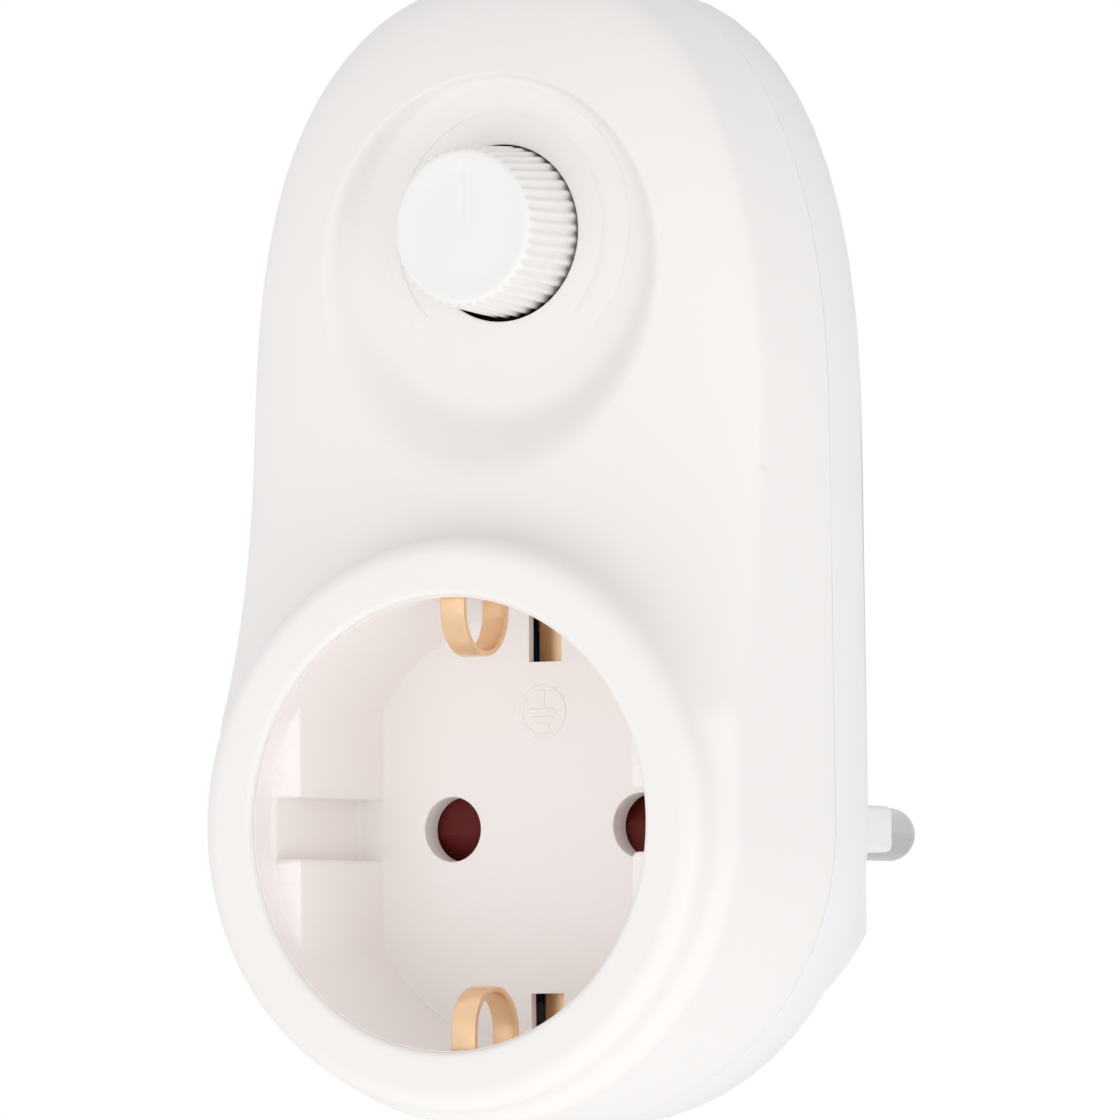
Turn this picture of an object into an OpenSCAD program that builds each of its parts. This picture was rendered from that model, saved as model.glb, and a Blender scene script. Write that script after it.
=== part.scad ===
// Plug-in rotary dimmer with an earthed round through socket.
// The back of the plug is at Y = 0 with its pins along +Y, the front faces -Y, Z is up.
// Modules are drawn in a bench frame: x across, y up, z ahead of the back plate.

/* [Body] */
// Step of the body's round foot beyond the collar rim
foot_step = 1.25; // [0.6:0.05:1.5]
// Half width of the body where the rounded top begins
half_w_high = 25.7; // [24.5:0.1:30]
// Height of the start of the rounded top above the socket axis
top_start = 31; // [28:0.5:38]
// Rise of the rounded top above its start
top_rise = 43.2; // [40:0.1:46]
// Fullness of the rounded top, where 2 is an ellipse
top_power = 2.54; // [2:0.02:3]
// Distance of the cover seam ahead of the back plate
seam_ahead = 5.8; // [5:0.1:7]
// Wall thickness of both covers
wall = 2.2; // [1.6:0.1:2.6]
// Distance of the front face ahead of the back plate, at its bend
face_ahead = 21.2; // [20.6:0.1:22.5]
// Height of the bend of the front face above the socket axis
face_bend = 46.5; // [44:0.5:49]
// Forward sweep of the front face one sweep span below its bend
face_sweep = 3; // [2.4:0.1:3.4]
// Drop of the crowned face at the outline
crown_drop = 4.8; // [4:0.1:5.5]
// Fullness of the crown, where 2 is an ellipse
crown_power = 2.6; // [2.2:0.05:3]

/* [Socket] */
// Radius of the plug recess
recess_r = 19.5; // [19.2:0.1:20]
// Depth of the plug recess behind the rim
recess_depth = 17.5; // [17:0.1:18.5]
// Distance of the recess floor ahead of the back plate
floor_ahead = 11; // [10.5:0.1:13]
// Thickness of the recess floor
floor_t = 2.2; // [1.8:0.1:2.4]
// Wall thickness of the socket cup
cup_wall = 1.55; // [1.4:0.05:1.8]
// Radius of the collar at its rim
collar_r = 24.7; // [24:0.1:25.2]
// Rounding of the collar edge
collar_edge = 1.8; // [1:0.1:2]
// Step of the collar lip outside the recess
lip_step = 0.1; // [0:0.05:0.6]
// Thickness of the collar lip in front of the cup
lip_t = 1.4; // [1:0.1:2]
// Half distance between the guide flats
flat_half = 16.5; // [16:0.1:17]
// Depth of the guide flats' front behind the rim
flat_depth = 3.2; // [2.6:0.1:4]
// Height of the guide channel between the flats
channel_h = 5.3; // [5:0.1:6]
// Half distance between the ends of the guide channels
channel_half = 19.2; // [18.6:0.1:19.3]
// Distance between the two pins
pin_pitch = 19; // [18.6:0.1:19.4]
// Radius of the pin holes
pin_hole_r = 2.83; // [2.6:0.01:3]

/* [Knob] */
// Height of the knob axis above the socket axis
knob_z = 51.6; // [50:0.1:53]
// Radius of the knob over its ridges at the foot
knob_r = 7.8; // [7:0.1:8]
// Distance of the knob front ahead of the back plate
knob_front = 24.8; // [23.5:0.1:27]
// Number of grip ridges
ridge_count = 44; // [24:1:60]
// Depth of the grip ridges
ridge_depth = 0.4; // [0.2:0.05:0.6]
// Gap between the knob and its hole
knob_gap = 0.3; // [0.3:0.05:0.8]
// Radius of the control shaft
shaft_r = 3; // [2.5:0.1:3.2]
// Radius of the dish floor round the knob
dish_r = 14.65; // [13.5:0.05:15.5]
// Height of the dish axis above the socket axis
dish_z = 50.2; // [49:0.1:51.5]
// Distance of the dish floor ahead of the back plate
dish_ahead = 18.2; // [17.8:0.1:18.8]
// Radius of the dish at its rim
dish_rim_r = 16.75; // [16:0.05:17.5]
// Height of the middle of the dish rim above the socket axis
dish_rim_z = 48.1; // [47:0.1:49.5]

/* [Plug] */
// Depth of the plug body behind the back plate
plug_depth = 17.5; // [17:0.1:18.5]
// Radius of the plug body
plug_r = 18.6; // [18.4:0.1:19]
// Half width over the flats of the plug body
plug_flat = 16.2; // [15.9:0.1:16.4]
// Half width over the guide ribs
rib_half = 19; // [18.5:0.1:19.1]
// Height of the guide ribs
rib_h = 4.1; // [3.5:0.1:4.6]
// Radius of the plug pins
pin_r = 2.4; // [2:0.05:2.4]
// Length of the plug pins behind the plug face
pin_len = 19; // [18:0.5:19.5]

/* [Inside] */
// Clearance of a running fit
run_gap = 0.05; // [0.02:0.01:0.1]
// Clearance of pieces pressed or set together
set_gap = 0.03; // [0.01:0.01:0.05]
// Clearance between pieces that only pass each other
pass_gap = 0.3; // [0.3:0.05:0.5]
// Thickness of the circuit board
board_t = 1.6; // [1.2:0.1:1.6]
// Thickness of contact strip
strip_t = 0.9; // [0.7:0.05:1]
// Width of the earth clips
clip_w = 3; // [2.6:0.1:3.2]
// Thickness of the earth clips
clip_t = 0.6; // [0.5:0.05:0.8]
// Distance of the earth clip tips from the socket axis
clip_tip = 14.6; // [14:0.1:15.2]
// Thickness of the shutter
shutter_t = 2; // [1.6:0.1:2]
// Radius of the housing screw shanks
screw_r = 1.5; // [1.3:0.1:1.7]
// Radius of the housing screw heads
screw_head_r = 2.8; // [2.5:0.1:3]
// Radius of the insulated leads
lead_r = 0.9; // [0.7:0.05:1]

/* [Hidden] */
$fn = 64;
eps = 0.01;

// Covers
half_w_low = collar_r + foot_step;
rim_ahead = floor_ahead + recess_depth;
cup_r = recess_r + cup_wall;
lip_r = recess_r + lip_step;
cup_front = rim_ahead - lip_t;
flat_front = rim_ahead - flat_depth;
bow_r = 3.5;
bow_mid = rim_ahead - 5.2;
strip_in = recess_r + 0.2;
strip_out = strip_in + clip_t;
pocket_gap = 0.15;
pocket_w = clip_w + 2 * pocket_gap;
pocket_front = bow_mid + bow_r + pocket_gap;
flat_fall = 0.5;
pin_x = pin_pitch / 2;
arc_steps = 14;
side_steps = 6;
sweep_span = 30;
face_low = 9;
ring_in = [0, 0.12, 0.5, 1.2, 2.6, 5, 9];
half_points = 2 * arc_steps + side_steps + 1;
loop_points = 2 * half_points - 2;
top_z = top_start + top_rise;
collar_foot = 12;
collar_foot_r = half_w_low - foot_step / 5;
edge_steps = 8;
dish_floor_t = wall;
dish_deep = 8;
knob_hole_r = knob_r + knob_gap;
boss_r = 3.2;
boss_sink = 0.65;
screw_z = [recess_r + 4.2, top_z - 8];
screw_x = [side_at(screw_z[0]) - wall - boss_r + boss_sink, 8.5];
boss_top = [15, face_at(screw_z[1]) - wall + 0.4];
screw_bite = 7;
screw_head_t = 1.4;
cross_slot = [3.2, 0.7, 0.6];
screw_spots = [for (row = [0, 1]) for (side = [-1, 1]) [side * screw_x[row], screw_z[row], boss_top[row]]];

// Planes behind the socket floor
floor_back = floor_ahead - floor_t;
shutter_front = floor_back - pass_gap;
shutter_back = shutter_front - shutter_t;
hub_r = 1.6;
shutter_arm = 2.6;
spring_back = shutter_back - pass_gap - 1.3;
clip_back = spring_back - 0.9;
hub_back = clip_back - 0.3;
carrier_front = wall + 1.1;
carrier_half = [plug_flat + 0.9, 6];
contact_front = shutter_back - 0.45;
contact_w = 6;
contact_grip = 2.15;
contact_web = -7.3;
live_root = contact_web - 2.4;
pad_r = 3.6;
plate_front = floor_back - 0.5;

// Plug
plug_wall = 2.4;
plug_end = 3;
pin_root_r = pin_r + 0.35;
pin_boss = 1.65;
groove_half = 2.8;
groove_deep = 1.35;

// Electronics
board_back = seam_ahead + 0.1;
board_front = board_back + board_t;
board_half = 19;
board_low = 28.5;
board_high = 62;
post_r = 2.4;
post_spots = [[15.5, 31], [-15.5, 31], [12, 59.5], [-12, 59.5]];
pot_r = 8.4;
pot_depth = 5.6;
pot_front = board_front + pot_depth;
bush_r = 4.4;
bush_front = dish_ahead - dish_floor_t - pass_gap;
shaft_end = knob_front - 1.4;
choke_at = [-11, board_low + 5.2];
cap_at = [7, board_low + 5];
fuse_at = [-13.6, knob_z - 2.1];
core_r = [2.6, 4.3];
core_h = 4;
wire_t = 1;
sink_at = [10.2, 40];
sink_size = [7.6, 15, 7.5];
sink_t = 1.4;
triac_in = [0.2, 2];
triac_size = [5.8, 9.5, 3.6];
cap_size = [13, 6, 8];
fuse_up = 3.4;
fuse_r = 2.5;
fuse_len = 11;
fuse_cap = 4.5;
fuse_cap_t = 0.3;
fuse_leaf = 0.4;
fuse_clip_w = 3;
axial_z = knob_z - pot_r - 3.5;
axial_x = [2, -2.2];
resistor_step = 3.6;
resistor = [1.2, 6];
diode = [1, 4.4];
leg_r = 0.35;
leg_up = 0.4;
lead_ahead = wall + 1.6;

// Distance of the front face ahead of the back plate, at height y
function face_at(y) = face_ahead - face_sweep * pow((max(y, face_low) - face_bend) / sweep_span, 3);
// Drop of the crowned face at distance d in from the outline
function crown_at(d) =
    crown_drop * (1 - pow(1 - pow(1 - min(d / half_w_high, 1), crown_power), 1 / crown_power));
// Half width of the straight sides at height y
function side_at(y) = half_w_low + (half_w_high - half_w_low) * y / top_start;
// Point k of the right half of the outline, from foot to top, drawn in by d
function half_point(k, d) =
    k <= arc_steps
        ? let (a = -90 + 90 * k / arc_steps) [(half_w_low - d) * cos(a), (half_w_low - d) * sin(a)]
        : k <= arc_steps + side_steps
            ? let (s = (k - arc_steps) / side_steps)
                [side_at(top_start * s) - d, top_start * s]
            : let (a = 90 * (k - arc_steps - side_steps) / arc_steps)
                [
                    (half_w_high - d) * pow(cos(a), 2 / top_power),
                    top_start + (top_rise - d) * pow(sin(a), 2 / top_power)
                ];
// Point i of the whole outline, anticlockwise seen from the front
function loop_point(i, d) =
    i < half_points
        ? half_point(i, d)
        : let (p = half_point(loop_points - i, d)) [-p[0], p[1]];
function outline(d) = [for (i = [0 : loop_points - 1]) loop_point(i, d)];
// Index of loop point i on ring j
function at(j, i) = j * loop_points + i % loop_points;

module placed() {
    translate([0, -plug_depth, 0])
    rotate([90, 0, 0])
    children();
}

// Profile drawn as (up, ahead) and carried across by width
module across(width, x = 0) {
    translate([x - width / 2, 0, 0])
    rotate([90, 0, 90])
    linear_extrude(width)
    children();
}

// Solid of the body's form, drawn in by inset all round and cut square at foot
module body_form(inset, foot) {
    rings = len(ring_in) + 1;
    points = [
        for (j = [0 : rings - 1])
        for (i = [0 : loop_points - 1])
        let (
            d = ring_in[max(0, j - 1)],
            p = loop_point(i, inset + d)
        )
        [p[0], p[1], j == 0 ? foot : face_at(p[1]) - inset - crown_at(d)]
    ];
    walls = [
        for (j = [0 : rings - 2])
        for (i = [0 : loop_points - 1])
        each [
            [at(j, i), at(j + 1, i + 1), at(j, i + 1)],
            [at(j, i), at(j + 1, i), at(j + 1, i + 1)]
        ]
    ];
    last = rings - 1;
    cap = [
        for (k = [0 : half_points - 2])
        k == 0 ? [at(last, 0), at(last, loop_points - 1), at(last, 1)]
        : k == half_points - 2 ? [at(last, k), at(last, loop_points - k), at(last, k + 1)]
        : [at(last, k), at(last, loop_points - k), at(last, loop_points - k - 1), at(last, k + 1)]
    ];
    polyhedron(points, concat([[for (i = [0 : loop_points - 1]) i]], walls, cap), convexity = 6);
}

// Ring of the collar from its foot to its rounded rim
module collar() {
    rotate_extrude()
    polygon(concat(
        [[lip_r - eps, collar_foot], [collar_foot_r, collar_foot]],
        [for (i = [0 : edge_steps])
            let (a = 90 * i / edge_steps)
            [collar_r - collar_edge * (1 - cos(a)), rim_ahead - collar_edge * (1 - sin(a))]],
        [[lip_r - eps, rim_ahead]]
    ));
}

// Flared dish through its floor circle and its lower-set rim circle, from low to high
module dish_form(grow, low, high) {
    hull()
    for (d = [low, high])
    let (s = (d - dish_ahead) / (face_ahead - dish_ahead))
    translate([0, dish_z + s * (dish_rim_z - dish_z), d])
    cylinder(r = dish_r + grow + s * (dish_rim_r - dish_r), h = eps);
}

// Wall behind the dish, cut by a slanted plane that stays inside the front face
module dish_backing() {
    low_y = dish_z - dish_r - dish_deep;
    high_y = dish_z + dish_r + wall;
    low_d = face_at(low_y) - wall / 2;
    high_d = face_at(high_y) - wall / 2;
    difference() {
        dish_form(wall * 0.8, dish_ahead - dish_floor_t, dish_ahead + dish_deep);
        translate([0, low_y, low_d])
        rotate([atan2(high_d - low_d, high_y - low_y), 0, 0])
        translate([-top_z, -top_z, 0])
        cube([2 * top_z, 3 * top_z, rim_ahead]);
    }
}

module front_cover() {
    color("whitesmoke")
    placed()
    difference() {
        union() {
            difference() {
                body_form(0, seam_ahead);
                body_form(wall, seam_ahead - 1);
            }
            collar();
            dish_backing();
            for (s = screw_spots)
            translate([s[0], s[1], seam_ahead])
            cylinder(r = boss_r, h = s[2] - seam_ahead);
        }
        dish_form(0, dish_ahead, dish_ahead + dish_deep);
        translate([0, knob_z, dish_ahead - dish_floor_t - 1])
        cylinder(r = knob_hole_r, h = dish_floor_t + 2);
        translate([0, 0, seam_ahead - 1])
        cylinder(r = cup_r + set_gap, h = cup_front - seam_ahead + 1);
        translate([0, 0, seam_ahead - 1])
        cylinder(r = lip_r, h = rim_ahead);
        for (s = screw_spots)
        translate([s[0], s[1], seam_ahead - eps])
        cylinder(r = screw_r + set_gap, h = screw_bite + pass_gap);
    }
}

module rear_cover() {
    color("whitesmoke")
    placed()
    difference() {
        union() {
            difference() {
                linear_extrude(seam_ahead)
                polygon(outline(0));
                translate([0, 0, wall])
                linear_extrude(seam_ahead)
                polygon(outline(wall));
            }
            for (s = screw_spots)
            translate([s[0], s[1], 0])
            cylinder(r = boss_r, h = seam_ahead);
            for (s = post_spots)
            translate([s[0], s[1], 0])
            cylinder(r = post_r, h = board_back);
            plug_form(0, -plug_depth, eps);
            for (side = [-1, 1])
            translate([side * (plug_flat + rib_half) / 2, 0, -plug_depth / 2])
            cube([rib_half - plug_flat + 2 * eps, rib_h, plug_depth], center = true);
        }
        difference() {
            plug_form(plug_wall, plug_end - plug_depth, seam_ahead);
            for (side = [-1, 1])
            translate([side * pin_x, 0, -plug_depth])
            cylinder(r = pin_root_r + pin_boss, h = plug_depth + live_root - 1);
        }
        for (side = [-1, 1])
        translate([side * pin_x, 0, -plug_depth - 1])
        cylinder(r = pin_root_r + set_gap, h = plug_depth);
        for (side = [-1, 1])
        translate([-groove_half, side > 0 ? plug_r - groove_deep : -plug_r - 1, 1.5 - plug_depth])
        cube([2 * groove_half, groove_deep + 1, plug_depth + wall]);
        for (s = screw_spots)
        translate([s[0], s[1], -1]) {
            cylinder(r = screw_r + 2 * set_gap, h = 2 * seam_ahead);
            cylinder(r = screw_head_r + 4 * set_gap, h = 1 + seam_ahead - wall);
        }
    }
}

// Round plug body with two flats, drawn in by inset
module plug_form(inset, low, high) {
    intersection() {
        translate([0, 0, low])
        cylinder(r = plug_r - inset, h = high - low);
        translate([inset - plug_flat, -plug_r, low - 1])
        cube([2 * (plug_flat - inset), 2 * plug_r, high - low + 2]);
    }
}

module socket_cup() {
    mouth = 2 * (cup_r + 1);
    color("seashell")
    placed()
    difference() {
        union() {
            translate([0, 0, floor_back])
            cylinder(r = cup_r, h = cup_front - set_gap - floor_back);
            translate([0, 0, hub_back])
            cylinder(r = hub_r, h = floor_back - hub_back + eps);
        }
        intersection() {
            translate([0, 0, floor_ahead])
            cylinder(r = recess_r, h = recess_depth + 1);
            union() {
                translate([-flat_half, -mouth / 2, floor_ahead - 1])
                cube([2 * flat_half, mouth, recess_depth + 3]);
                translate([-channel_half, -channel_h / 2, floor_ahead - 1])
                cube([2 * channel_half, channel_h, recess_depth + 3]);
                translate([0, mouth / 2, 0])
                rotate([90, 0, 0])
                linear_extrude(mouth)
                polygon([
                    [-flat_half, flat_front], [flat_half, flat_front], [cup_r, flat_front - flat_fall],
                    [cup_r, rim_ahead + 1], [-cup_r, rim_ahead + 1], [-cup_r, flat_front - flat_fall]
                ]);
            }
        }
        for (side = [-1, 1])
        translate([side * pin_x, 0, floor_back - 1])
        cylinder(r = pin_hole_r, h = floor_t + 2);
        for (turn = [0, 180])
        rotate([0, 0, turn])
        translate([-pocket_w / 2, 0, floor_back - 1]) {
            translate([0, clip_tip - pocket_gap, 0])
            cube([pocket_w, recess_r - clip_tip, floor_t + 2]);
            translate([0, recess_r - 1, 0])
            cube([pocket_w, strip_out + pocket_gap - recess_r + 1, pocket_front - floor_back + 1]);
        }
    }
}

module shutter() {
    color("maroon")
    placed()
    difference() {
        translate([0, 0, shutter_back])
        union() {
            cylinder(r = hub_r + shutter_arm, h = shutter_t);
            translate([-pin_x, -shutter_arm, 0])
            cube([pin_pitch, 2 * shutter_arm, shutter_t]);
            for (side = [-1, 1])
            translate([side * pin_x, 0, 0])
            cylinder(r = pad_r, h = shutter_t);
        }
        translate([0, 0, shutter_back - 1])
        cylinder(r = hub_r + run_gap, h = shutter_t + 2);
        for (turn = [0, 180])
        rotate([0, 0, turn])
        translate([pin_x - pad_r - 1, 0.4, shutter_front])
        rotate([-24, 0, 0])
        cube([2 * pad_r + 2, 2 * pad_r, shutter_t]);
    }
}

module shutter_spring() {
    color("silver")
    placed() {
        translate([0, 0, spring_back])
        difference() {
            cylinder(r = hub_r + 1.3, h = 1.3);
            translate([0, 0, -1])
            cylinder(r = hub_r + pass_gap, h = 4);
        }
        translate([hub_r + 0.8, 0, spring_back + 0.65])
        rotate([-90, 0, 0])
        cylinder(r = 0.4, h = 5);
    }
}

module shutter_clip() {
    color("silver")
    placed()
    translate([0, 0, clip_back])
    difference() {
        cylinder(r = hub_r + 1.8, h = 0.6);
        translate([0, 0, -1])
        cylinder(r = hub_r + set_gap, h = 3);
    }
}

module contact_carrier() {
    window = [contact_w + 0.3, 2 * (contact_grip + strip_t) + 0.3];
    color("dimgray")
    placed()
    difference() {
        translate([-carrier_half[0], -carrier_half[1], wall])
        cube([2 * carrier_half[0], 2 * carrier_half[1], carrier_front - wall]);
        for (side = [-1, 1])
        translate([side * pin_x - window[0] / 2, -window[1] / 2, wall - 1])
        cube([window[0], window[1], 5]);
    }
}

// Folded strip with two leaves, a web at the back and ears that rest on the carrier
module socket_contact(x) {
    outer = contact_grip + strip_t;
    across(contact_w, x) {
        difference() {
            translate([-outer, contact_web])
            square([2 * outer, contact_front - contact_web]);
            translate([-contact_grip, contact_web + strip_t])
            square([2 * contact_grip, 30]);
        }
        for (side = [-1, 1])
        translate([side > 0 ? outer - eps : -outer - 1.2 + eps, carrier_front])
        square([1.2, strip_t]);
    }
}

module live_contact() {
    color("goldenrod")
    placed()
    socket_contact(pin_x);
}

module neutral_contact() {
    color("goldenrod")
    placed()
    socket_contact(-pin_x);
}

// Bowed earth clip: up a pocket in the cup wall, in and round the bow and back out to the pocket, with its
// tail plate behind the floor
module earth_clip() {
    bow_in = clip_tip + bow_r;
    across(clip_w) {
        translate([strip_in, plate_front - clip_t])
        square([clip_t, bow_mid + bow_r - plate_front + clip_t]);
        translate([clip_tip - 0.4, plate_front - clip_t])
        square([strip_out - clip_tip + 0.4, clip_t]);
        translate([bow_in, bow_mid])
        intersection() {
            difference() {
                circle(r = bow_r);
                circle(r = bow_r - clip_t);
            }
            translate([-bow_r - 1, -bow_r - 1])
            square([bow_r + 1, 2 * bow_r + 2]);
        }
        translate([bow_in - eps, bow_mid + bow_r - clip_t])
        square([strip_out - bow_in + eps, clip_t]);
        translate([bow_in - eps, bow_mid - bow_r])
        square([recess_r - bow_in + eps, clip_t]);
    }
}

module earth_clip_upper() {
    color("goldenrod")
    placed()
    earth_clip();
}

module earth_clip_lower() {
    color("goldenrod")
    placed()
    mirror([0, 1, 0])
    earth_clip();
}

// Side contact of the plug, reaching forward to the tail plate of the earth clip
module plug_earth() {
    translate([set_gap - groove_half, plug_r - groove_deep + set_gap, 1.5 - plug_depth + set_gap])
    cube([2 * (groove_half - set_gap), strip_t, plug_depth - 1.5 + plate_front - clip_t - set_gap]);
}

module plug_earth_upper() {
    color("goldenrod")
    placed()
    plug_earth();
}

module plug_earth_lower() {
    color("goldenrod")
    placed()
    mirror([0, 1, 0])
    plug_earth();
}

// Round-ended plug pin on a thicker root that is set in the plug
module plug_pin(x, root) {
    translate([x, 0, -plug_depth])
    cylinder(r = pin_root_r, h = plug_depth + root);
    translate([x, 0, -plug_depth - pin_len + pin_r]) {
        cylinder(r = pin_r, h = pin_len - pin_r + eps);
        sphere(r = pin_r);
    }
}

module plug_pin_live() {
    color("silver")
    placed()
    plug_pin(pin_x, live_root);
}

module plug_pin_neutral() {
    color("silver")
    placed()
    plug_pin(-pin_x, contact_web);
}

module knob() {
    foot = dish_ahead - dish_floor_t + pass_gap;
    edge = 1.2;
    cap_r = knob_r - ridge_depth - 0.1;
    color("white")
    placed()
    translate([0, knob_z, 0])
    difference() {
        union() {
            translate([0, 0, foot])
            linear_extrude(knob_front - edge - foot)
            polygon([
                for (i = [0 : 4 * ridge_count - 1])
                let (r = knob_r - (i % 4 < 2 ? 0 : ridge_depth), a = 90 * i / ridge_count)
                [r * cos(a), r * sin(a)]
            ]);
            translate([0, 0, knob_front - edge - eps])
            rotate_extrude()
            polygon(concat(
                [[0, 0], [cap_r, 0]],
                [for (i = [1 : 6]) [cap_r - edge * (1 - cos(15 * i)), eps + edge * sin(15 * i)]],
                [[0, edge + eps]]
            ));
        }
        translate([0, 0, foot - 1])
        cylinder(r = shaft_r + set_gap, h = shaft_end - foot + 1.1);
        translate([-0.35, 3, knob_front - 0.35])
        cube([0.7, knob_r, 1]);
    }
}

module control_shaft() {
    color("lightgray")
    placed()
    translate([0, knob_z, 0]) {
        translate([0, 0, board_front + 0.9])
        cylinder(r = shaft_r, h = shaft_end - board_front - 0.9);
        translate([0, 0, board_front + 0.9])
        cylinder(r = pot_r - 2.2, h = 1.2);
    }
}

module control_body() {
    color("steelblue")
    placed()
    translate([0, knob_z, 0])
    difference() {
        union() {
            translate([0, 0, board_front])
            cylinder(r = pot_r, h = pot_depth);
            translate([0, 0, board_front])
            cylinder(r = bush_r, h = bush_front - board_front);
        }
        translate([0, 0, board_front + 0.6])
        cylinder(r = pot_r - 1.5, h = 2.2);
        translate([0, 0, board_front + 0.6])
        cylinder(r = shaft_r + run_gap, h = 30);
    }
}

module circuit_board() {
    color("peru")
    placed()
    translate([0, 0, board_back])
    linear_extrude(board_t)
    polygon([
        [-board_half, board_low], [board_half, board_low], [board_half, board_high - 12],
        [board_half - 1.4, board_high - 5], [board_half - 7, board_high],
        [7 - board_half, board_high], [1.4 - board_half, board_high - 5], [-board_half, board_high - 12]
    ]);
}

module heat_sink() {
    color("silver")
    placed() {
        translate([sink_at[0], sink_at[1], board_front])
        cube([sink_size[0], sink_size[1], sink_t]);
        translate([sink_at[0] + sink_size[0] - sink_t, sink_at[1], board_front])
        cube([sink_t, sink_size[1], sink_size[2]]);
    }
}

module triac() {
    color("dimgray")
    placed()
    translate([sink_at[0] + triac_in[0], sink_at[1] + triac_in[1], board_front + sink_t])
    cube(triac_size);
}

module choke_core() {
    color("dimgray")
    placed()
    translate([choke_at[0], choke_at[1], board_front + wire_t])
    difference() {
        cylinder(r = core_r[1], h = core_h);
        translate([0, 0, -1])
        cylinder(r = core_r[0], h = core_h + 2);
    }
}

module choke_winding() {
    color("chocolate")
    placed()
    translate([choke_at[0], choke_at[1], board_front])
    difference() {
        cylinder(r = core_r[1] + wire_t, h = core_h + 2 * wire_t);
        translate([0, 0, -1])
        cylinder(r = core_r[0] - wire_t, h = core_h + 2 * wire_t + 2);
        translate([0, 0, wire_t - set_gap])
        difference() {
            cylinder(r = core_r[1] + set_gap, h = core_h + 2 * set_gap);
            translate([0, 0, -1])
            cylinder(r = core_r[0] - set_gap, h = core_h + 2);
        }
    }
}

module film_capacitor() {
    color("gold")
    placed()
    translate([cap_at[0] - cap_size[0] / 2, cap_at[1] - cap_size[1] / 2, board_front])
    cube(cap_size);
}

// Children turned along the fuse, with the fuse's middle at the origin
module along_fuse() {
    translate([fuse_at[0], fuse_at[1], board_front + fuse_up])
    rotate([-90, 0, 0])
    children();
}

module fuse_tube() {
    color("lightcyan")
    placed()
    along_fuse()
    cylinder(r = fuse_r - fuse_cap_t, h = fuse_len, center = true);
}

module fuse_caps() {
    color("silver")
    placed()
    along_fuse()
    for (side = [-1, 1])
    translate([0, 0, side * (fuse_len + fuse_cap) / 2])
    cylinder(r = fuse_r, h = fuse_cap, center = true);
}

module fuse_clips() {
    color("goldenrod")
    placed()
    along_fuse()
    for (side = [-1, 1])
    translate([0, 0, side * (fuse_len + fuse_cap) / 2])
    difference() {
        translate([-fuse_r - fuse_leaf, -fuse_r * 0.4, -fuse_clip_w / 2])
        cube([2 * (fuse_r + fuse_leaf), fuse_up + fuse_r * 0.4, fuse_clip_w]);
        cylinder(r = fuse_r + set_gap, h = 2 * fuse_clip_w, center = true);
        translate([-fuse_r / 2, -fuse_r, -fuse_clip_w])
        cube([fuse_r, fuse_r, 2 * fuse_clip_w]);
    }
}

// Axial part standing off the board on two bent legs
module axial(x, y, r, length) {
    translate([x, y - length / 2, board_front + r + leg_up])
    rotate([-90, 0, 0])
    cylinder(r = r, h = length);
    for (side = [-1, 1])
    translate([x, y + side * (length / 2 - 2 * leg_r), board_front])
    cylinder(r = leg_r, h = r + leg_up);
}

module resistors() {
    color("tan")
    placed()
    for (i = [0 : 1])
    axial(axial_x[0] + resistor_step * i, axial_z, resistor[0], resistor[1]);
}

module trigger_diode() {
    color("royalblue")
    placed()
    axial(axial_x[1], axial_z, diode[0], diode[1]);
}

// Round lead along a list of corner points
module lead(points) {
    for (i = [0 : len(points) - 2])
    let (
        from = points[i],
        step = points[i + 1] - from,
        run = norm(step)
    )
    translate(from) {
        rotate([0, acos(step[2] / run), atan2(step[1], step[0])])
        cylinder(r = lead_r, h = run);
        if (i > 0)
        sphere(r = lead_r);
    }
}

module live_lead() {
    color("saddlebrown")
    placed()
    lead([
        [pin_x, 0, live_root], [pin_x, 0, live_root + 1.2], [pin_x, 8.5, live_root + 1.2],
        [pin_x, 8.5, lead_ahead], [pin_x, board_low + 2, lead_ahead], [pin_x, board_low + 2, board_back]
    ]);
}

// Lead from the ear of a socket contact up to the board
module contact_lead() {
    ear = carrier_front + strip_t + lead_r;
    lead([
        [pin_x - 3.2, contact_grip + strip_t + lead_r, ear], [pin_x - 3.2, 10.5, ear],
        [pin_x - 4.4, 12, lead_ahead], [pin_x - 4.4, board_low + 2, lead_ahead],
        [pin_x - 4.4, board_low + 2, board_back]
    ]);
}

module switched_lead() {
    color("black")
    placed()
    contact_lead();
}

module neutral_lead() {
    color("steelblue")
    placed()
    mirror([1, 0, 0])
    contact_lead();
}

module housing_screws() {
    color("silver")
    placed()
    for (s = screw_spots)
    translate([s[0], s[1], 0])
    difference() {
        union() {
            translate([0, 0, seam_ahead - wall - screw_head_t])
            cylinder(r = screw_head_r, h = screw_head_t);
            translate([0, 0, seam_ahead - wall - eps])
            cylinder(r = screw_r, h = wall + screw_bite);
        }
        for (turn = [0, 90])
        rotate([0, 0, turn])
        translate([-cross_slot[0] / 2, -cross_slot[1] / 2, seam_ahead - wall - screw_head_t - cross_slot[2]])
        cube([cross_slot[0], cross_slot[1], 2 * cross_slot[2]]);
    }
}

front_cover();
rear_cover();
socket_cup();
shutter();
shutter_spring();
shutter_clip();
contact_carrier();
live_contact();
neutral_contact();
earth_clip_upper();
earth_clip_lower();
plug_earth_upper();
plug_earth_lower();
plug_pin_live();
plug_pin_neutral();
knob();
control_shaft();
control_body();
circuit_board();
triac();
heat_sink();
choke_core();
choke_winding();
film_capacitor();
fuse_tube();
fuse_caps();
fuse_clips();
resistors();
trigger_diode();
live_lead();
switched_lead();
neutral_lead();
housing_screws();
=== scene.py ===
import math

import bmesh
import bpy
import numpy as np
from mathutils import Matrix, Vector


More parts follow.
